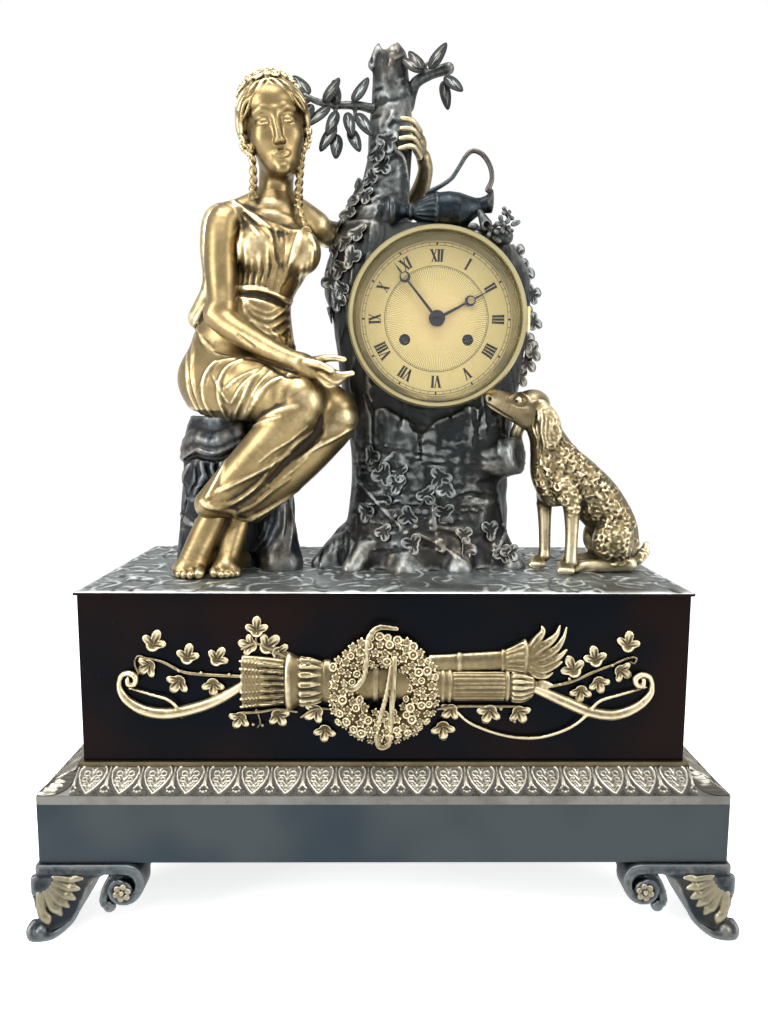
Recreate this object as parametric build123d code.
from build123d import *
import os
from math import atan2, cos, degrees, hypot, pi, radians, sin, sqrt

# Figural mantel clock. Millimetres, +Z up, front toward -Y, origin under the middle of the base.

# Sizes of the base
FOOT_H = 53.0
LOWER_W = 470.0
LOWER_D = 236.0
LOWER_H = 41.7
FRIEZE_LIP = 6.0
FRIEZE_RISE = 11.0
UPPER_W = 422.0
UPPER_D = 188.0
UPPER_H = 118.6
FILLET_H = 3.5
FILLET_OUT = 3.0
SHELL = 6.0
GROUND_T = 3.0
GROUND_OUT = 2.0
FOOT_DEEP = 42.0
FOOT_PROUD = 3.0

# Sizes of the clock, taken from the dial axis
DIAL_X = 38.0
DIAL_UP = 191.0
DIAL_Y = -27.0
DIAL_R = 57.5
DIAL_T = 1.2
BEZEL_R = 65.5
BEZEL_DEEP = 15.0
GLASS_T = 1.8
DRUM_R = 58.0
DRUM_WALL = 1.6
DRUM_BACK = 78.0
PLATE_R = 50.0
PLATE_T = 2.4
PLATE_GAP = 36.0
MOTION_GAP = 8.5
WIND_X = 23.5
WIND_DOWN = 15.0
KEY_HOLE_R = 4.2
HOUR_ANGLE = 62.0
MINUTE_ANGLE = -38.6
HOUR_LEN = 43.0
MINUTE_LEN = 51.0
PENDULUM_LEN = 128.0
SUSPEND_UP = 46.0
BOB_R = 17.0
HINGE_R = 2.6
PIN_R = 1.2
RUN = 0.05
PIVOT_R = 0.6
ARBOR_R = 0.9

# Tooth counts and modules of the wheels
GREAT_TEETH = 76
GREAT_MODULE = 0.5
LEAVES = 12
INTER_TEETH = 72
CENTRE_TEETH = 84
CENTRE_MODULE = 0.42
THIRD_LEAVES = 7
THIRD_TEETH = 77
THIRD_MODULE = 0.4
ESCAPE_TEETH = 38
ESCAPE_R = 10.0
PIN_LEAVES = 8
PIN_TEETH = 60
PIN_MODULE = 0.45
CANNON_TEETH = 12
MINUTE_TEETH = 36
MOTION_MODULE = 0.5
MINUTE_LEAVES = 10
HOUR_TEETH = 40

os.makedirs("parts", exist_ok=True)

# Heights that follow from the sizes above
LOWER_TOP = FOOT_H + LOWER_H
FRIEZE_TOP = LOWER_TOP + FRIEZE_LIP + FRIEZE_RISE
UPPER_TOP = FRIEZE_TOP + FILLET_H + UPPER_H
GROUND = UPPER_TOP + GROUND_T
DIAL_Z = GROUND + DIAL_UP
FACE_Y = -UPPER_D / 2
DIAL_BACK = DIAL_Y + DIAL_T
PLATE_F = DIAL_BACK + MOTION_GAP
INSIDE_F = PLATE_F + PLATE_T
INSIDE_B = INSIDE_F + PLATE_GAP
PLATE_B = INSIDE_B + PLATE_T


def up(x, y, z):
    """A point given by its height above the ground plate."""
    return (x, y, GROUND + z)


def slab(outline, front, back):
    """A front-view outline in X and Z, made solid from y = front to y = back."""
    plane = Plane(origin=(0, back, 0), x_dir=(1, 0, 0), z_dir=(0, -1, 0))
    return extrude(plane * outline, back - front)


def rod(x, z, r, front, back):
    """A round bar along Y at x, z from the dial axis."""
    return slab(Pos(DIAL_X + x, DIAL_Z + z) * Circle(r), front, back)


def polygon(points):
    """A filled outline through the points in order."""
    return make_face(Polyline(*points, close=True))


def ring(at, along, rx, ry=None, across=None):
    """A round or oval section across a path."""
    plane = Plane(origin=at, z_dir=along) if across is None else Plane(origin=at, x_dir=across, z_dir=along)
    return plane * (Circle(rx) if ry is None else Ellipse(rx, ry))


def limb(stations):
    """A smooth tapering limb through stations (x, y, height above the ground, radius)."""
    spots = [Vector(*up(*s[:3])) for s in stations]
    sections = []
    for i, s in enumerate(stations):
        before = spots[max(i - 1, 0)]
        after = spots[min(i + 1, len(spots) - 1)]
        way = (spots[i] - before).normalized() if i else Vector(0, 0, 0)
        if i < len(spots) - 1:
            way = way + (after - spots[i]).normalized()
        sections.append(ring(spots[i], way, s[3]))
    return loft(sections)


def egg(x, y, z, rx, ry, rz):
    """An ellipsoid by its centre, above the ground plate, and its three radii."""
    return Pos(*up(x, y, z)) * scale(Sphere(1), by=(rx, ry, rz))


def stack(stations):
    """A body through level ovals (x, y, height above the ground, x radius, y radius)."""
    return loft([ring(up(*s[:3]), (0, 0, 1), s[3], s[4], (1, 0, 0)) for s in stations])


def group(solids):
    """Several solids in one node."""
    return Compound(children=[s for part in solids for s in part.solids()])


nodes = {}


# The base: two hollow tiers, the moulding between them, the earth plate and the feet
def box_shell(width, depth, bottom, top):
    on_floor = (Align.CENTER, Align.CENTER, Align.MIN)
    outer = Pos(0, 0, bottom) * Box(width, depth, top - bottom, align=on_floor)
    hollow = (width - 2 * SHELL, depth - 2 * SHELL, top - bottom - SHELL)
    inner = Pos(0, 0, bottom) * Box(*hollow, align=on_floor)
    return outer - inner


def level(width, depth, z, edge=0.0):
    shape = Rectangle(width, depth) if edge == 0 else RectangleRounded(width, depth, edge)
    return Pos(0, 0, z) * shape


lower = box_shell(LOWER_W, LOWER_D, FOOT_H, LOWER_TOP)
lower -= Pos(0, 0, LOWER_TOP) * Box(UPPER_W - 40, UPPER_D - 40, 4 * SHELL)
nodes["lower_plinth"] = lower

frieze = extrude(level(LOWER_W, LOWER_D, LOWER_TOP), FRIEZE_LIP)
slope = loft(
    [
        level(LOWER_W - 1, LOWER_D - 1, LOWER_TOP + FRIEZE_LIP),
        level(UPPER_W + 2 * FILLET_OUT, UPPER_D + 2 * FILLET_OUT, FRIEZE_TOP),
    ],
    ruled=True,
)
frieze += slope
frieze -= Pos(0, 0, LOWER_TOP) * Box(UPPER_W - 40, UPPER_D - 40, 200)
nodes["frieze_moulding"] = frieze

fillet_bar = extrude(level(UPPER_W + 2 * FILLET_OUT, UPPER_D + 2 * FILLET_OUT, FRIEZE_TOP), FILLET_H)
fillet_bar -= Pos(0, 0, FRIEZE_TOP) * Box(UPPER_W - 40, UPPER_D - 40, 200)
nodes["plinth_fillet"] = fillet_bar

STUDS = [(-122, 40), (31, 60), (-20, 60), (-135, -36), (177, -10), (129, -10)]
STUD_R = 2.5
upper = box_shell(UPPER_W, UPPER_D, FRIEZE_TOP + FILLET_H, UPPER_TOP)
ground = extrude(level(UPPER_W + 2 * GROUND_OUT, UPPER_D + 2 * GROUND_OUT, UPPER_TOP, 4), GROUND_T)
for x, y in STUDS:
    hole = Pos(x, y, UPPER_TOP) * Cylinder(STUD_R + RUN, 4 * SHELL)
    upper -= hole
    ground -= hole
nodes["upper_plinth"] = upper
nodes["ground_plate"] = ground

bolts = []
for x, y in STUDS:
    nut = Pos(x, y, UPPER_TOP - SHELL - 4) * extrude(RegularPolygon(5, 6), 4)
    shank = Pos(x, y, UPPER_TOP - SHELL - 7) * Cylinder(
        STUD_R, GROUND_T + SHELL + 7, align=(Align.CENTER, Align.CENTER, Align.MIN)
    )
    bolts.append(nut + shank)
nodes["case_bolts"] = group(bolts)

outer_line = Spline((-2, FOOT_H - 7), (-5, 0.55 * FOOT_H), (-2, 0.24 * FOOT_H), (-6, 4))
toe_line = ThreePointArc((-6, 4), (-6.2, 1.6), (-4, 0))
inner_line = Spline((14, 0), (19, 6), (30, 0.42 * FOOT_H), (43, FOOT_H - 10), (48, FOOT_H - 7))
profile = make_face(
    [outer_line, toe_line, Line((-4, 0), (14, 0)), inner_line, Line((48, FOOT_H - 7), (-2, FOOT_H - 7))]
)
band = Pos(31, FOOT_H - 3.5) * Rectangle(68, 7)
volute = Pos(58, FOOT_H - 17) * Circle(14)
foot = slab(profile + band + volute, -FOOT_DEEP / 2, FOOT_DEEP / 2)
for side_x, name_x in ((-1, "left"), (1, "right")):
    for side_y, name_y in ((-1, "front"), (1, "rear")):
        spot = Pos(side_x * LOWER_W / 2, side_y * (LOWER_D / 2 + FOOT_PROUD - FOOT_DEEP / 2), 0)
        shape = foot if side_x < 0 else mirror(foot, Plane.YZ)
        nodes["foot_" + name_y + "_" + name_x] = spot * shape


# The trunk: a hollow stump with the drum bore, a split front and an upper stem
stump_rings = [
    (31, 30, 0, 88, 50),
    (33, 29, 14, 75, 47),
    (36, 28, 40, 68, 45),
    (38, 27, 90, 67, 44),
    (37, 27, 150, 76, 46),
    (38, 27, 200, 81, 48),
    (33, 28, 250, 75, 46),
    (30, 29, 264, 68, 43),
]
stump = stack(stump_rings)
WALL = 9.0
hollow = stack([(x, y, z - (z == 0), rx - WALL, ry - WALL) for x, y, z, rx, ry in stump_rings[:5]])
stem = limb([(-16, 30, 228, 34), (-9, 33, 262, 29), (0, 34, 299, 20), (5, 35, 353, 17), (5, 36, 404, 14)])
stub = limb([(76, 4, 84, 19), (94, -4, 87, 17), (109, -10, 89, 15)])
trunk = stump + stem + stub - hollow
bore = rod(0, 0, DRUM_R + 2 * RUN, -80, 140)
split_left = [(-16, 134), (-8, 122), (8, 113), (24, 101), (25.5, 85)]
split_right = [(28.5, 85), (30, 101), (50, 115), (71, 125), (82, 136)]
SPLIT_BACK = -12.0
split = slab(polygon([(x, GROUND + z) for x, z in split_left + split_right]), -60, SPLIT_BACK)
arch = slab(Pos(DIAL_X, GROUND + 70) * RectangleRounded(70, 110, 30), 40, 120)
nodes["tree_trunk"] = trunk - bore - split - arch


# Twigs, the jug and the flowers on the stump
def ivy_leaf(size):
    """A three-lobed leaf outline by formula, stalk end at the origin, tip along +X."""
    points = []
    for i in range(24):
        a = 2 * pi * i / 24
        r = size * (0.36 + 0.2 * abs(cos(1.5 * a)) ** 3)
        points.append((size * 0.42 + r * cos(a), r * sin(a)))
    return polygon(points)


def leaf_at(x, y, z, size, turn, thick=2.0):
    """A leaf plate facing the front with its stalk at the given place."""
    outline = Pos(x, GROUND + z) * Rot(0, 0, turn) * ivy_leaf(size)
    return slab(outline, y - thick / 2, y + thick / 2)


def twig(stations, leaves):
    shape = limb(stations)
    for x, y, z, size, turn in leaves:
        shape += leaf_at(x, y, z, size, turn)
    return shape


left_twig = twig(
    [(-2, 33, 359, 5), (-20, 28, 362, 4), (-36, 24, 360, 3.2), (-58, 20, 366, 2.4)],
    [
        (-54, 20, 364, 20, 160),
        (-46, 22, 362, 17, 235),
        (-36, 24, 360, 20, 280),
        (-26, 26, 360, 16, 250),
        (-44, 22, 362, 15, 100),
    ],
)
right_twig = twig(
    [(10, 34, 372, 4.5), (24, 31, 381, 3.6), (36, 29, 384, 3), (50, 28, 389, 2.4)],
    [(34, 29, 384, 18, 80), (46, 28, 387, 18, 20), (40, 29, 385, 18, 300), (30, 30, 382, 14, 130)],
)
nodes["branch_left"] = left_twig - stem
nodes["branch_right"] = right_twig - stem

JUG_Y = -4.0
JUG_Z = 278.2
jug_foot = [(8, 13), (12, 13), (15, 6), (20, 5)]
jug_line = jug_foot + [(32, 11), (46, 13.7), (58, 11.5), (68, 6.5), (76, 7), (82, 10.5)]
jug_face = make_face(
    [Spline(*jug_line), Line((82, 10.5), (82, 0)), Line((82, 0), (8, 0)), Line((8, 0), (8, 13))]
)
jug_axis = up(0, JUG_Y, JUG_Z)
jug_plane = Plane(origin=jug_axis, x_dir=(1, 0, 0), z_dir=(0, -1, 0))
jug = revolve(jug_plane * jug_face, Axis(jug_axis, (1, 0, 0)))
handle_rise = [(30, 287, 2.6), (40, 297, 2.4), (54, 307, 2.4), (68, 317, 2.6)]
handle_line = handle_rise + [(79, 312, 2.6), (80, 298, 2.4), (78, 284, 2.6)]
handle = limb([(x, JUG_Y, z, r) for x, z, r in handle_line])
nodes["ewer"] = jug + handle
flowers = [egg(75, 12, 270, 9, 9, 7), egg(67, 20, 269, 7, 7, 6), egg(84, 18, 268, 7, 6, 6)]
bunch = flowers[0] + flowers[1] + flowers[2]
bunch += leaf_at(80, 11, 268, 20, 20)
nodes["flower_bunch"] = bunch - stump - nodes["ewer"] - bore

# The seat and the maiden
seat = stack(
    [
        (-122, 24, 0, 50, 36),
        (-122, 24, 30, 47, 35),
        (-121, 24, 70, 44, 34),
        (-121, 22, 104, 41, 34),
        (-120, 20, 119, 37, 30),
    ]
)
torso = stack(
    [
        (-124, 22, 109, 36, 30),
        (-123, 21, 125, 38, 31),
        (-121, 19, 143, 38, 30),
        (-117, 16, 163, 36, 27),
        (-109, 14, 184, 32, 24),
        (-99, 10, 201, 28, 21),
        (-91, 7, 217, 27, 19),
        (-88, 3, 230, 29, 19),
        (-88, 0, 243, 33, 21),
        (-89, 5, 262, 38, 17),
        (-86, 6, 275, 25, 13),
        (-82, 5, 284, 13, 11),
    ]
)
thigh_way = (0.86, -0.5, -0.08)
thighs = loft(
    [
        ring(up(-128, 24, 139), thigh_way, 31, 29, (0.5, 0.86, 0)),
        ring(up(-92, 0, 142), thigh_way, 32, 27, (0.5, 0.86, 0)),
        ring(up(-55, -22, 134), thigh_way, 31, 23, (0.5, 0.86, 0)),
        ring(up(-38, -32, 130), thigh_way, 25, 19, (0.5, 0.86, 0)),
        ring(up(-29, -37, 128), thigh_way, 14, 11, (0.5, 0.86, 0)),
    ]
)
shin_way = (-0.68, 0.0, -0.73)
shins = loft(
    [
        ring(up(-42, -28, 128), shin_way, 25, 19, (0, 1, 0)),
        ring(up(-70, -28, 92), shin_way, 28, 22, (0, 1, 0)),
        ring(up(-98, -26, 63), shin_way, 29, 24, (0, 1, 0)),
        ring(up(-116, -25, 46), shin_way, 27, 23, (0, 1, 0)),
    ]
)
body = torso + thighs + shins
nodes["seat_rock"] = seat - body
nodes["maiden_body"] = body
skull = egg(-85, 2, 326, 23, 27, 34)
hair = egg(-87, 9, 339, 27, 29, 33)
knot = egg(-91, 36, 340, 14, 13, 14)
locks = limb([(-108, 6, 335, 9), (-108, 4, 310, 8), (-112, -2, 288, 5)]) + limb(
    [(-64, 8, 335, 9), (-60, 6, 312, 8), (-58, -1, 291, 5)]
)
neck = limb([(-83, 5, 274, 9), (-82, 5, 290, 10.5), (-82, 4, 308, 11)])
nodes["maiden_head"] = skull + hair + knot + locks + neck - body
right_arm = limb(
    [
        (-117, 5, 262, 14),
        (-127, -2, 234, 14.5),
        (-126, -9, 198, 13),
        (-112, -17, 179, 12.5),
        (-84, -28, 167, 11),
        (-57, -38, 157, 7.5),
        (-44, -42, 154, 7.5),
        (-28, -46, 152, 3.5),
    ]
)
nodes["maiden_right_arm"] = right_arm - body - nodes["maiden_head"]
left_arm = limb(
    [
        (-58, 8, 262, 13),
        (-50, 40, 264, 12.5),
        (-26, 68, 272, 11.5),
        (12, 75, 288, 10.5),
        (31, 62, 308, 8),
        (33, 44, 326, 7.5),
        (26, 24, 337, 7.5),
        (12, 14, 342, 4),
    ]
)
nodes["maiden_left_arm"] = left_arm - body - trunk - nodes["maiden_head"]
ankle_a = [(-126, -27, 52, 9), (-129, -29, 36, 9.5), (-135, -34, 19, 11)]
ankle_b = [(-110, -22, 42, 9), (-111, -25, 30, 9.5), (-113, -32, 17, 10)]
foot_a = limb(ankle_a + [(-141, -43, 9, 8.5), (-146, -51, 6, 5.5)])
foot_b = limb(ankle_b + [(-116, -41, 8.5, 8), (-118, -48, 6, 5.5)])
below = Pos(0, 0, GROUND) * Box(900, 900, 300, align=(Align.CENTER, Align.CENTER, Align.MAX))
around = body + below + seat
nodes["maiden_feet"] = group([foot_a - around, foot_b - foot_a - around])

# The dog
DOG_Y = -12
hound = limb(
    [
        (119, DOG_Y, 104, 16),
        (124, DOG_Y, 92, 18),
        (136, DOG_Y, 74, 21),
        (156, DOG_Y, 54, 22),
        (175, DOG_Y, 33, 23),
        (186, DOG_Y, 20, 17),
    ]
)
hound += egg(182, DOG_Y, 23, 19, 22, 22.6)
hound += egg(114, DOG_Y, 120, 17, 15, 17)
hound += limb([(112, DOG_Y, 119, 14), (96, DOG_Y, 122, 10.5), (86, DOG_Y, 126, 8), (79, DOG_Y, 130, 5)])
for side in (-1, 1):
    hound += egg(127, DOG_Y + side * 15, 108, 8, 4.5, 19)
    hound += egg(176, DOG_Y + side * 17, 25, 17, 9, 20)
    hound += limb(
        [(x, DOG_Y + side * 15, z, r) for x, z, r in ((184, 5, 5), (168, 5, 5), (154, 4.5, 4.5), (150, 4, 3))]
    )
near_leg = [(142, -22, 70, 10), (143, -26, 48, 7), (140, -29, 22, 5.5)]
far_leg = [(127, -4, 70, 10), (127, -4, 48, 7), (126, -5, 22, 5.5)]
hound += limb(near_leg + [(139, -31, 6, 6), (137, -36, 4.5, 4.5)])
hound += limb(far_leg + [(125, -6, 6, 6), (122, -10, 4.5, 4.5)])
hound += limb([(192, DOG_Y + 2, 8, 6), (203, DOG_Y + 5, 9, 5), (209, DOG_Y + 8, 14, 3)])
nodes["dog"] = hound - below - trunk

# The trophy on the front of the upper tier, each mount lying against the face
MOUNT_Z = -68.0


def relief(stations, flat, height, x_turn=0):
    """A half-round mount along X: stations are (x, half height), flat is depth over half height."""
    ends = [(stations[0][0], 0)] + list(stations) + [(stations[-1][0], 0)]
    face = Plane(origin=up(0, FACE_Y, height), x_dir=(1, 0, 0), z_dir=(0, -1, 0)) * polygon(ends)
    half = revolve(face, Axis(up(0, FACE_Y, height), (1, 0, 0)), 180)
    if half.bounding_box().center().Y > FACE_Y:
        half = mirror(half, Plane(origin=(0, FACE_Y, 0), z_dir=(0, 1, 0)))
    return scale(half, by=(1, flat, 1), about=up(0, FACE_Y, height))


def strip(points, width, thick):
    """A flat bar along a smooth line on the face, points in X and height above the ground."""
    line = Spline(*[(x, GROUND + z) for x, z in points])
    return slab(trace(line, width), FACE_Y - thick, FACE_Y)


quiver = relief(
    [(-99, 25), (-70, 20), (-67, 24), (-61, 24), (-59, 18), (40, 16)]
    + [(84, 14), (92, 16), (100, 12), (106, 8), (112, 3)],
    0.45,
    MOUNT_Z + 2,
)
flame_upper = [(88, -38), (96, -33), (104, -34), (110, -26), (114, -32), (125, -26)]
flame_line = flame_upper + [(118, -38), (108, -46), (96, -50)]
flame = slab(polygon([(x, GROUND + z) for x, z in flame_line]), FACE_Y - 4, FACE_Y)
torch_line = [(30, -58), (78, -44), (80, -38), (92, -33), (100, -49), (90, -54), (34, -66)]
torch = slab(polygon([(x, GROUND + z) for x, z in torch_line]), FACE_Y - 6, FACE_Y)
wreath_ring = Pos(*up(0, FACE_Y, MOUNT_Z)) * Rot(90, 0, 0) * Torus(30, 9)
front_half = Pos(0, FACE_Y, GROUND) * Box(900, 200, 900, align=(Align.CENTER, Align.MAX, Align.CENTER))
wreath = scale(wreath_ring & front_half, by=(1, 0.95, 1), about=up(0, FACE_Y, MOUNT_Z))
bow_half = [(40, -76), (100, -76), (128, -85), (156, -91), (178, -85), (187, -74), (181, -66)]
bow = strip(bow_half, 6, 4) + strip([(-x, z) for x, z in bow_half], 6, 4)
bow += strip([(120, -88), (104, -104), (86, -100), (40, -88)], 2, 2)
ribbon = strip([(-16, -100), (-6, -108), (6, -100), (2, -84), (-12, -70), (-4, -54), (8, -44)], 8, 11)
ivy = []
for side, spots in (
    (-1, [(132, -50, 16, 150), (146, -44, 15, 200), (158, -40, 16, 120), (112, -94, 16, 190)]),
    (1, [(136, -52, 16, 150), (148, -45, 15, 200), (160, -41, 16, 120), (60, -98, 16, 190)]),
):
    for x, z, size, turn in spots:
        outline = Pos(side * x, GROUND + z) * Rot(0, 0, 90 + side * (turn - 90)) * ivy_leaf(size)
        ivy.append(slab(outline, FACE_Y - 2.5, FACE_Y))
torch = torch + flame - quiver
wreath = wreath - quiver - torch
ribbon = ribbon - quiver - torch - wreath
ribbon = max(ribbon.solids(), key=lambda s: s.volume)
ivy = [leaf - bow - quiver - torch - wreath for leaf in ivy]
bow = bow - quiver - torch - wreath - ribbon
nodes["trophy_quiver"] = quiver
nodes["trophy_torch"] = torch
nodes["trophy_wreath"] = wreath
nodes["trophy_ribbon"] = ribbon
nodes["trophy_bow"] = bow
nodes["trophy_ivy"] = group(ivy)


# The case of the clock: drum, hinged bezel with its glass, dial and hinged rear door
def turned(profile):
    """A turned piece about the dial axis: profile points are (y, radius)."""
    plane = Plane(origin=(DIAL_X, 0, DIAL_Z), x_dir=(0, 1, 0), z_dir=(1, 0, 0))
    return revolve(plane * polygon(profile), Axis((DIAL_X, 0, DIAL_Z), (0, 1, 0)))


FLANGE_R = BEZEL_R - 2
FLANGE_Y = DIAL_BACK + 1.2
REST = 0.3
drum = turned(
    [
        (DIAL_BACK, DRUM_R - DRUM_WALL),
        (DIAL_BACK, FLANGE_R),
        (FLANGE_Y, FLANGE_R),
        (FLANGE_Y, DRUM_R),
        (DRUM_BACK, DRUM_R),
        (DRUM_BACK, DRUM_R - DRUM_WALL),
    ]
)
HINGE_X = DIAL_X + BEZEL_R + HINGE_R - 0.5
HINGE_Y = DIAL_BACK - 0.6
KNUCKLE = 6.0


def pin_hole(x, y, clear):
    return Pos(x, y, DIAL_Z) * Cylinder(PIN_R + clear, 6 * KNUCKLE)


def wing(x, y, z, long, width, thick, toward):
    """A flat hinge leaf from the knuckle toward the dial axis."""
    return Pos(x + toward * width / 2, y, DIAL_Z + z) * Box(width, thick, long)


drum_wing_y = DIAL_BACK + 0.6
for z in (-KNUCKLE - REST, KNUCKLE + REST):
    drum += Pos(HINGE_X, HINGE_Y, DIAL_Z + z) * Cylinder(HINGE_R, KNUCKLE)
    drum += wing(HINGE_X, drum_wing_y, z, KNUCKLE, BEZEL_R - DRUM_R + HINGE_R, 1.2, -1)
drum -= pin_hole(HINGE_X, HINGE_Y, 0.02)
slot_front = PLATE_B + 2
slot_align = (Align.CENTER, Align.MIN, Align.CENTER)
slot = Pos(DIAL_X, slot_front, DIAL_Z - DRUM_R) * Box(26, 16, 30, align=slot_align)
drum -= slot

COVE_R = DIAL_R - 1.0
GLASS_R = BEZEL_R - 3.4
bezel_front = DIAL_BACK - BEZEL_DEEP
glass_front = bezel_front + 2.6
bezel_back = DIAL_BACK - REST
bezel = turned(
    [
        (bezel_back, DIAL_R + REST),
        (DIAL_Y - REST, DIAL_R + REST),
        (DIAL_Y - REST, COVE_R),
        (DIAL_Y - 1.8, COVE_R),
        (glass_front + GLASS_T + 3.5, GLASS_R - 2.4),
        (glass_front + GLASS_T, GLASS_R - 1.6),
        (glass_front + GLASS_T, GLASS_R),
        (glass_front, GLASS_R),
        (glass_front, GLASS_R - 0.8),
        (bezel_front, GLASS_R - 0.3),
        (bezel_front, BEZEL_R - 1.2),
        (bezel_front + 2, BEZEL_R),
        (bezel_back - 2, BEZEL_R),
        (bezel_back, BEZEL_R - 1),
    ]
)
bezel += Pos(HINGE_X, HINGE_Y, DIAL_Z) * Cylinder(HINGE_R, KNUCKLE)
bezel += wing(HINGE_X, HINGE_Y - HINGE_R + 0.6, 0, KNUCKLE, HINGE_R + 2, 1.2, -1)
knuckle_space = Cylinder(HINGE_R + REST, KNUCKLE + 2 * REST - 0.1)
for z in (-KNUCKLE - REST, KNUCKLE + REST):
    bezel -= Pos(HINGE_X, HINGE_Y, DIAL_Z + z) * knuckle_space
bezel -= pin_hole(HINGE_X, HINGE_Y, RUN)
nodes["bezel_frame"] = bezel
nodes["bezel_glass"] = rod(0, 0, GLASS_R, glass_front, glass_front + GLASS_T)
drum -= Pos(HINGE_X, HINGE_Y, DIAL_Z) * knuckle_space
bezel_pin = Pos(HINGE_X, HINGE_Y, DIAL_Z) * Cylinder(PIN_R, 3 * KNUCKLE + 2 * REST)

# The rear door turns on a pin on the same side as the bezel
DOOR_T = 3.0
DOOR_R = DRUM_R + 1.5
REAR_X = DIAL_X + DOOR_R + HINGE_R - 0.5
REAR_Y = DRUM_BACK + DOOR_T / 2
door = rod(0, 0, DOOR_R, DRUM_BACK + REST, DRUM_BACK + DOOR_T + REST)
door += Pos(REAR_X, REAR_Y, DIAL_Z) * Cylinder(HINGE_R, KNUCKLE)
door += Pos(REAR_X - HINGE_R, REAR_Y + DOOR_T / 4, DIAL_Z) * Box(2 * HINGE_R, DOOR_T / 2, KNUCKLE)
door += rod(-DOOR_R + 9, 0, 4, DRUM_BACK + DOOR_T, DRUM_BACK + DOOR_T + 6)
for z in (-KNUCKLE - REST, KNUCKLE + REST):
    drum += Pos(REAR_X, REAR_Y, DIAL_Z + z) * Cylinder(HINGE_R, KNUCKLE)
    drum += Pos(REAR_X - 3.2, DRUM_BACK - 1.2, DIAL_Z + z) * Box(6.4, 2.4, KNUCKLE)
    door -= Pos(REAR_X, REAR_Y, DIAL_Z + z) * knuckle_space
drum -= Pos(REAR_X, REAR_Y, DIAL_Z) * knuckle_space
drum -= pin_hole(REAR_X, REAR_Y, 0.02)
nodes["rear_door"] = door - pin_hole(REAR_X, REAR_Y, RUN)
rear_pin = Pos(REAR_X, REAR_Y, DIAL_Z) * Cylinder(PIN_R, 3 * KNUCKLE + 2 * REST)
nodes["hinge_pins"] = group([bezel_pin, rear_pin])
nodes["drum_case"] = drum

HOUR_PIPE_R = 2.6
dial = rod(0, 0, DIAL_R, DIAL_Y, DIAL_BACK) - rod(0, 0, HOUR_PIPE_R + REST, -60, 0)
for side in (-1, 1):
    dial -= rod(side * WIND_X, -WIND_DOWN, KEY_HOLE_R, -60, 0)
nodes["dial"] = dial


# Wheels: tooth outlines, the arbors they turn on and how they mesh
def teeth_face(teeth, module, phase, share, add, ded):
    """A toothed outline about the origin: share is the tooth's part of the pitch."""
    pitch = 2 * pi / teeth
    r = module * teeth / 2
    points = []
    for i in range(teeth):
        mid = phase + i * pitch
        for radius, half in (
            (r - ded * module, 0.62 * share),
            (r + add * module, 0.26 * share),
            (r + add * module, -0.26 * share),
            (r - ded * module, -0.62 * share),
        ):
            a = mid - half * pitch
            points.append((radius * cos(a), radius * sin(a)))
    return polygon(points)


def wheel(spot, teeth, module, phase, front, back, bars=4):
    """A crossed-out wheel at a place from the dial axis."""
    r = module * teeth / 2
    face = teeth_face(teeth, module, phase, 0.44, 0.85, 1.2)
    rim = r - 1.2 * module - 1.6
    if bars:
        gaps = Circle(rim) - Circle(0.3 * r) - Rectangle(0.16 * r, 3 * r) - Rectangle(3 * r, 0.16 * r)
        face = face - gaps
    return slab(Pos(DIAL_X + spot[0], DIAL_Z + spot[1]) * face, front, back)


def pinion(spot, leaves, module, phase, front, back):
    face = teeth_face(leaves, module, phase, 0.32, 0.75, 1.2)
    return slab(Pos(DIAL_X + spot[0], DIAL_Z + spot[1]) * face, front, back)


def meshing(spot_a, teeth_a, phase_a, spot_b, teeth_b):
    """The phase that lets wheel b stand between the teeth of wheel a."""
    way = atan2(spot_b[1] - spot_a[1], spot_b[0] - spot_a[0])
    share = (way - phase_a) * teeth_a / (2 * pi)
    return way + pi - (0.5 - share) * 2 * pi / teeth_b


def beside(spot, distance, angle):
    return (spot[0] + distance * cos(radians(angle)), spot[1] + distance * sin(radians(angle)))


def between(spot_a, reach_a, spot_b, reach_b):
    """The place at the two given reaches from two others, on the upper side."""
    dx = spot_b[0] - spot_a[0]
    dz = spot_b[1] - spot_a[1]
    d = hypot(dx, dz)
    along = (reach_a**2 - reach_b**2 + d**2) / (2 * d)
    off = sqrt(max(reach_a**2 - along**2, 0))
    sign = 1 if dx < 0 else -1
    x = spot_a[0] + along * dx / d + sign * off * dz / d
    z = spot_a[1] + along * dz / d - sign * off * dx / d
    return (x, z)


def arbor(spot):
    """A plain arbor between the plates with its two pivots."""
    x, z = spot
    shaft = rod(x, z, ARBOR_R, INSIDE_F + REST, INSIDE_B - REST)
    return shaft + rod(x, z, PIVOT_R, PLATE_F, PLATE_B)


def inside(depth):
    """The y at a depth behind the front plate."""
    return INSIDE_F + depth


CENTRE = (0.0, 0.0)
GOING = (WIND_X, -WIND_DOWN)
STRIKE = (-WIND_X, -WIND_DOWN)
great_reach = GREAT_MODULE * (GREAT_TEETH + LEAVES) / 2
inter_reach = GREAT_MODULE * (INTER_TEETH + LEAVES) / 2
third_reach = CENTRE_MODULE * (CENTRE_TEETH + THIRD_LEAVES) / 2
escape_reach = THIRD_MODULE * (THIRD_TEETH + THIRD_LEAVES) / 2
pin_reach = GREAT_MODULE * (INTER_TEETH + PIN_LEAVES) / 2
fly_reach = PIN_MODULE * (PIN_TEETH + THIRD_LEAVES) / 2
motion_reach = MOTION_MODULE * (CANNON_TEETH + MINUTE_TEETH) / 2
hour_module = 2 * motion_reach / (MINUTE_LEAVES + HOUR_TEETH)
INTER = between(GOING, great_reach, CENTRE, inter_reach)
THIRD = beside(CENTRE, third_reach, 81)
ESCAPE = beside(THIRD, escape_reach, 108)
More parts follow.
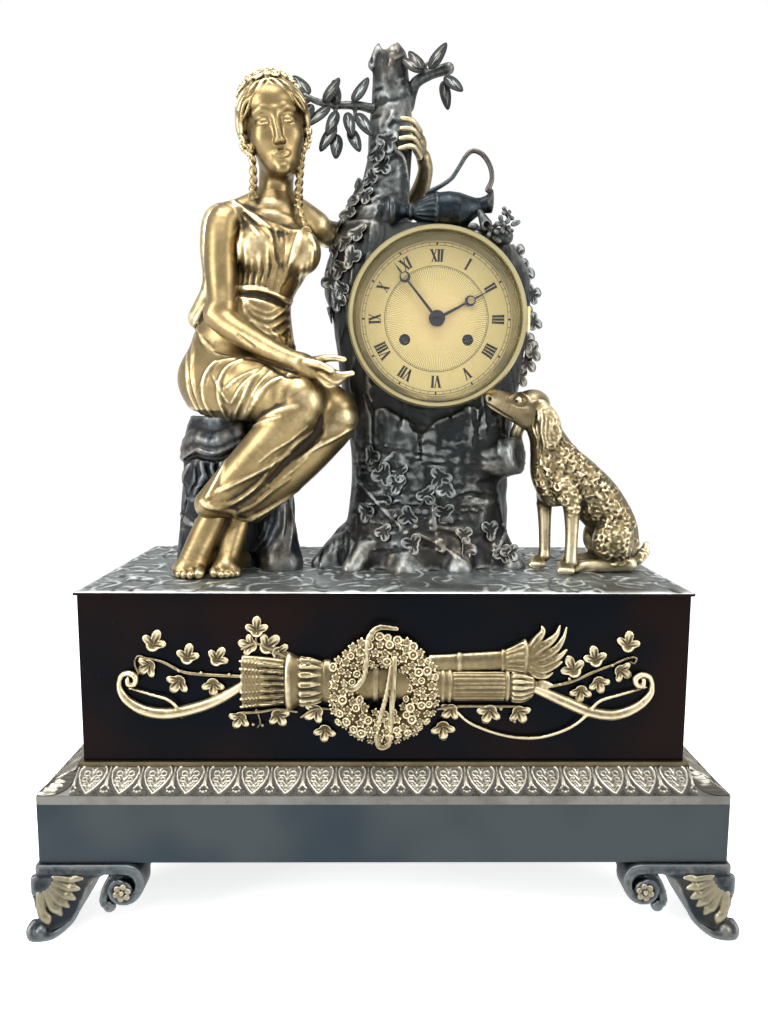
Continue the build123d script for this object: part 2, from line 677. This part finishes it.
SECOND = beside(STRIKE, great_reach, 99)
PIN = beside(SECOND, pin_reach, 53)
FLY = beside(PIN, fly_reach, 149)
MINUTE = beside(CENTRE, motion_reach, -90)
PALLET = (0.0, SUSPEND_UP)
HAMMER = (-44.0, 18.0)
BELL = (14.0, 6.0)

WIND_R = 2.4
barrel_front = inside(2)
barrel_back = inside(22)
wheel_back = inside(24.5)


def barrel(spot, phase):
    shape = rod(*spot, 16.6, barrel_front, barrel_back)
    shape += wheel(spot, GREAT_TEETH, GREAT_MODULE, phase, barrel_back, wheel_back, bars=0)
    return shape - rod(*spot, WIND_R + RUN, -60, 60)


def winding(spot):
    x, z = spot
    shape = rod(x, z, WIND_R, PLATE_F - 4, INSIDE_B - REST)
    shape += rod(x, z, PIVOT_R * 2, INSIDE_B - 2, PLATE_B)
    shape += slab(Pos(DIAL_X + x, DIAL_Z + z) * Rectangle(3.2, 3.2), DIAL_BACK + 0.2, PLATE_F - 3)
    shape += rod(x, z, 6.5, PLATE_F - 2.2, PLATE_F - 0.4)
    return shape


phase_great = 0.0
phase_inter = meshing(GOING, GREAT_TEETH, phase_great, INTER, LEAVES)
phase_centre = meshing(INTER, INTER_TEETH, phase_inter, CENTRE, LEAVES)
phase_third = meshing(CENTRE, CENTRE_TEETH, phase_centre, THIRD, THIRD_LEAVES)
phase_escape = meshing(THIRD, THIRD_TEETH, phase_third, ESCAPE, THIRD_LEAVES)
phase_second = meshing(STRIKE, GREAT_TEETH, phase_great, SECOND, LEAVES)
phase_pin = meshing(SECOND, INTER_TEETH, phase_second, PIN, PIN_LEAVES)
phase_fly = meshing(PIN, PIN_TEETH, phase_pin, FLY, THIRD_LEAVES)
phase_minute = meshing(CENTRE, CANNON_TEETH, 0.0, MINUTE, MINUTE_TEETH)
phase_hour = meshing(MINUTE, MINUTE_LEAVES, phase_minute, CENTRE, HOUR_TEETH)

nodes["going_barrel"] = barrel(GOING, phase_great)
nodes["strike_barrel"] = barrel(STRIKE, phase_great)
nodes["going_arbor"] = winding(GOING)
nodes["strike_arbor"] = winding(STRIKE)
second_wheels = [("intermediate_wheel", INTER, phase_inter), ("strike_second_wheel", SECOND, phase_second)]
for name, spot, phase in second_wheels:
    shape = arbor(spot) + pinion(spot, LEAVES, GREAT_MODULE, phase, inside(21), inside(25.5))
    nodes[name] = shape + wheel(spot, INTER_TEETH, GREAT_MODULE, phase, inside(27), inside(28.6))
CANNON_R = 1.7
CENTRE_R = 1.0
centre = rod(0, 0, ARBOR_R + 0.4, INSIDE_F + REST, INSIDE_B - REST)
centre += rod(0, 0, PIVOT_R, INSIDE_B - 2, PLATE_B)
centre += rod(0, 0, CENTRE_R, DIAL_Y - 5, INSIDE_F + 2)
centre += pinion(CENTRE, LEAVES, GREAT_MODULE, phase_centre, inside(26), inside(30))
centre += wheel(CENTRE, CENTRE_TEETH, CENTRE_MODULE, phase_centre, inside(31.5), inside(33))
nodes["centre_wheel"] = centre
third = arbor(THIRD) + pinion(THIRD, THIRD_LEAVES, CENTRE_MODULE, phase_third, inside(30.5), inside(34))
third += wheel(THIRD, THIRD_TEETH, THIRD_MODULE, phase_third, inside(10), inside(11.4))
nodes["third_wheel"] = third
escape = arbor(ESCAPE) + pinion(ESCAPE, THIRD_LEAVES, THIRD_MODULE, phase_escape, inside(9), inside(12.4))
hooks = []
for i in range(ESCAPE_TEETH):
    a = 2 * pi * i / ESCAPE_TEETH
    for radius, lag in ((ESCAPE_R - 2, 0.0), (ESCAPE_R, 0.3), (ESCAPE_R, 0.42), (ESCAPE_R - 2, 0.7)):
        turn = a + lag * 2 * pi / ESCAPE_TEETH
        hooks.append((radius * cos(turn), radius * sin(turn)))
bars = Circle(ESCAPE_R - 3.2) - Circle(3) - Rectangle(1.4, 30) - Rectangle(30, 1.4)
escape_face = Pos(DIAL_X + ESCAPE[0], DIAL_Z + ESCAPE[1]) * (polygon(hooks) - bars)
nodes["escape_wheel"] = escape + slab(escape_face, inside(28), inside(29.2))
pin_shape = arbor(PIN) + pinion(PIN, PIN_LEAVES, GREAT_MODULE, phase_pin, inside(26), inside(30))
pin_shape += wheel(PIN, PIN_TEETH, PIN_MODULE, phase_pin, inside(5), inside(6.4))
for i in range(8):
    x, z = beside(PIN, PIN_MODULE * PIN_TEETH / 2 - 2, 45 * i + 22)
    pin_shape += rod(x, z, 0.6, inside(6), inside(8.6))
nodes["pin_wheel"] = pin_shape
fly = arbor(FLY) + pinion(FLY, THIRD_LEAVES, PIN_MODULE, phase_fly, inside(4), inside(7.4))
vane = Pos(DIAL_X + FLY[0], DIAL_Z + FLY[1]) * Rot(0, 0, 60) * Rectangle(13, 0.8)
nodes["fly"] = fly + slab(vane, inside(12), inside(25))

# Motion work and hands
motion_back = PLATE_F - 1.0
cannon = pinion(CENTRE, CANNON_TEETH, MOTION_MODULE, 0.0, motion_back - 1.8, motion_back)
cannon += rod(0, 0, CANNON_R, DIAL_Y - 4.4, motion_back)
nodes["cannon_pinion"] = cannon - rod(0, 0, CENTRE_R + 0.02, -60, 60)
wheel_front = motion_back - 1.6
minute = wheel(MINUTE, MINUTE_TEETH, MOTION_MODULE, phase_minute, wheel_front, motion_back - 0.2, bars=0)
minute += pinion(MINUTE, MINUTE_LEAVES, hour_module, phase_minute, motion_back - 4.8, motion_back - 1.4)
STUD_POST_R = 0.9
nodes["minute_wheel"] = minute - rod(*MINUTE, STUD_POST_R + RUN, -60, 60)
hour = wheel(CENTRE, HOUR_TEETH, hour_module, phase_hour, motion_back - 4.4, motion_back - 2.8, bars=0)
hour += rod(0, 0, HOUR_PIPE_R, DIAL_Y - 2.0, motion_back - 2.8)
nodes["hour_wheel"] = hour - rod(0, 0, CANNON_R + RUN, -60, 60)


def hand(length, eye_at, eye_r, wide, boss, front, back):
    """A pierced moon hand pointing up from the dial axis."""
    half = wide / 2
    neck = length - 6
    blade = polygon([(-half, 0), (half, 0), (0.5 * half, neck), (0, length), (-0.5 * half, neck)])
    eye = Pos(0, eye_at) * Circle(eye_r) - Pos(0, eye_at + 0.2 * eye_r) * Circle(0.66 * eye_r)
    hole = Pos(0, eye_at + 0.2 * eye_r) * Circle(0.66 * eye_r)
    return slab((blade - hole) + eye + Circle(boss), front, back)


def on_dial(shape, angle):
    """A hand drawn pointing up, turned to its angle from the top and set on the dial axis."""
    return Pos(DIAL_X, 0, DIAL_Z) * Rot(0, angle, 0) * shape


hour_hand = on_dial(hand(HOUR_LEN, 28, 4, 2.4, 5, DIAL_Y - 2.0, DIAL_Y - 1.0), HOUR_ANGLE)
nodes["hour_hand"] = hour_hand - rod(0, 0, HOUR_PIPE_R, -60, 0)
minute_hand = on_dial(hand(MINUTE_LEN, 38, 4, 2.2, 4.2, DIAL_Y - 4.2, DIAL_Y - 3.2), MINUTE_ANGLE)
nodes["minute_hand"] = minute_hand - rod(0, 0, CANNON_R, -60, 0)
NUT_R = 6.0
nut = rod(0, 0, NUT_R, DIAL_Y - 6.2, DIAL_Y - 4.4)
nut -= slab(Pos(DIAL_X, DIAL_Z) * Rectangle(3 * NUT_R, 1.2), DIAL_Y - 7, DIAL_Y - 5.6)
nodes["hand_nut"] = nut - rod(0, 0, CENTRE_R + 0.02, DIAL_Y - 5.05, 0)

# Plates, pillars, stud of the minute wheel, bell, hammer and pendulum
front_plate = rod(0, 0, PLATE_R, PLATE_F, INSIDE_F)
back_plate = rod(0, 0, PLATE_R, INSIDE_B, PLATE_B)
for spot in (INTER, THIRD, ESCAPE, SECOND, PIN, FLY, HAMMER, PALLET):
    front_plate -= rod(*spot, PIVOT_R + RUN, -60, 60)
    back_plate -= rod(*spot, PIVOT_R + RUN, -60, 60)
front_plate -= rod(0, 0, CENTRE_R + RUN, -60, 60)
back_plate -= rod(0, 0, PIVOT_R + RUN, -60, 60)
for spot in (GOING, STRIKE):
    front_plate -= rod(*spot, WIND_R + RUN, -60, 60)
    back_plate -= rod(*spot, PIVOT_R * 2 + RUN, -60, 60)
front_plate += rod(*MINUTE, STUD_POST_R, motion_back - 5.4, PLATE_F)
ears = []
for angle in (35, 145, 215, 325):
    ear = Pos((PLATE_R + DRUM_R - DRUM_WALL) / 2 - 1, 0) * Rectangle(DRUM_R - DRUM_WALL - PLATE_R + 2, 8)
    ears.append(slab(Pos(DIAL_X, DIAL_Z) * Rot(0, 0, angle) * ear, PLATE_F, INSIDE_F))
inner_drum = rod(0, 0, DRUM_R - DRUM_WALL, -60, 120)
for ear in ears:
    front_plate += ear & inner_drum
posts = []
for angle in (40, 116, 190, 270, 350):
    x, z = beside(CENTRE, PLATE_R - 4, angle)
    posts.append(rod(x, z, 2.6, INSIDE_F, INSIDE_B))
    for piece_front, piece_back in ((PLATE_F, INSIDE_F), (INSIDE_B, PLATE_B)):
        posts[-1] += rod(x, z, 1.5, piece_front, piece_back)
    front_plate -= rod(x, z, 1.5, -60, 60)
    back_plate -= rod(x, z, 1.5, -60, 60)
nodes["front_plate"] = front_plate
nodes["plate_pillars"] = group(posts)

BELL_R = 30.0
bell_front = PLATE_B + 13
bell_back = bell_front + 14


def bell_turned(profile):
    plane = Plane(origin=(DIAL_X + BELL[0], 0, DIAL_Z + BELL[1]), x_dir=(0, 1, 0), z_dir=(1, 0, 0))
    return revolve(plane * polygon(profile), Axis((DIAL_X + BELL[0], 0, DIAL_Z + BELL[1]), (0, 1, 0)))


POST_R = 2.0
bell = bell_turned(
    [
        (bell_front, BELL_R - 1.6),
        (bell_front, BELL_R),
        (bell_front + 7, BELL_R - 3),
        (bell_back - 2, BELL_R - 11),
        (bell_back, 8),
        (bell_back, POST_R),
        (bell_back - 1.8, POST_R),
        (bell_back - 1.8, 8),
        (bell_back - 3.6, BELL_R - 12),
        (bell_front + 6, BELL_R - 5),
    ]
)
nodes["bell"] = bell
post = rod(*BELL, POST_R, INSIDE_B, bell_back + 4) + rod(*BELL, 4, PLATE_B, PLATE_B + 3)
post += rod(*BELL, 4.5, bell_back - 4.5, bell_back - 1.8) + rod(*BELL, 4.5, bell_back, bell_back + 3)
nodes["bell_post"] = post
back_plate -= rod(*BELL, POST_R, -60, 60)
cock = slab(Pos(DIAL_X, DIAL_Z + SUSPEND_UP + 3) * Rectangle(14, 4), PLATE_B, PLATE_B + 10)
cock -= Pos(DIAL_X, PLATE_B + 6, DIAL_Z + SUSPEND_UP + 3) * Box(3.2, 6, 10)
nodes["back_plate"] = back_plate + cock

head_x = BELL[0] - BELL_R - 4.2
head_z = BELL[1] + 4
hammer = arbor(HAMMER) + rod(*HAMMER, PIVOT_R, PLATE_B - 0.2, PLATE_B + 4)
hammer += rod(*HAMMER, 2, PLATE_B + 1, bell_front + 4)
hammer += slab(
    polygon(
        [
            (DIAL_X + HAMMER[0] - 0.4, DIAL_Z + HAMMER[1] - 1.2),
            (DIAL_X + HAMMER[0] + 0.4, DIAL_Z + HAMMER[1] + 1.2),
            (DIAL_X + head_x + 0.4, DIAL_Z + head_z + 1.2),
            (DIAL_X + head_x - 0.4, DIAL_Z + head_z - 1.2),
        ]
    ),
    bell_front + 1,
    bell_front + 3,
)
hammer += rod(head_x, head_z, 3, bell_front - 1, bell_front + 5)
nodes["hammer"] = hammer

rod_y = PLATE_B + 6
pallet = arbor(PALLET) + rod(*PALLET, PIVOT_R, PLATE_B - 0.2, PLATE_B + 3)
arm_outer = [(-9.5, -7.6), (-6.4, -1.4), (0, 2.2), (6.4, -1.4), (9.5, -7.6)]
arm = polygon(arm_outer + [(8.2, -8.2), (5, -3.4), (0, -1.6), (-5, -3.4), (-8.2, -8.2)])
tilt = degrees(atan2(ESCAPE[0] - PALLET[0], PALLET[1] - ESCAPE[1]))
anchor = slab(Pos(DIAL_X, DIAL_Z + SUSPEND_UP) * Rot(0, 0, tilt) * arm, inside(28), inside(29.2))
escape_zone = rod(*ESCAPE, ESCAPE_R + 0.4, inside(27), inside(30.4))
CRUTCH_LONG = 29.0
crutch_face = Pos(DIAL_X, DIAL_Z + SUSPEND_UP - CRUTCH_LONG / 2) * Rectangle(1.6, CRUTCH_LONG)
crutch = slab(crutch_face, PLATE_B + 1.4, PLATE_B + 2.6)
fork = Pos(DIAL_X, PLATE_B + 4.6, DIAL_Z + SUSPEND_UP - 28) * Box(4.4, 6.4, 2)
fork -= Pos(DIAL_X, rod_y, DIAL_Z + SUSPEND_UP - 28) * Cylinder(1.1, 10)
nodes["pallet_anchor"] = pallet + (anchor - escape_zone) + crutch + fork
bob_z = DIAL_Z + SUSPEND_UP - PENDULUM_LEN
rod_long = PENDULUM_LEN + BOB_R + 4
hanging = (Align.CENTER, Align.CENTER, Align.MAX)
pendulum = Pos(DIAL_X, rod_y, DIAL_Z + SUSPEND_UP) * Cylinder(1.1, rod_long, align=hanging)
pendulum += Pos(DIAL_X, rod_y, DIAL_Z + SUSPEND_UP - 4) * Box(2.4, 1.2, 16)
nodes["pendulum_rod"] = pendulum
bob_line = [(-4.2, 0), (-4.2, BOB_R * 0.5), (-1.2, BOB_R), (1.2, BOB_R), (4.2, BOB_R * 0.5), (4.2, 0)]
bob_plane = Plane(origin=(DIAL_X, rod_y, bob_z), x_dir=(0, 1, 0), z_dir=(1, 0, 0))
bob = revolve(bob_plane * polygon(bob_line), Axis((DIAL_X, rod_y, bob_z), (0, 1, 0)))
bob -= Pos(DIAL_X, rod_y, bob_z) * Cylinder(1.1, 4 * BOB_R)
nut_z = bob_z - BOB_R - 1.2
bob_nut = Pos(DIAL_X, rod_y, nut_z) * (Cylinder(3, 2.4) - Cylinder(1.1, 4))
nodes["pendulum_bob"] = group([bob, bob_nut])

for name, shape in nodes.items():
    export_step(shape, "parts/" + name + ".step")
print(len(nodes), "nodes written")
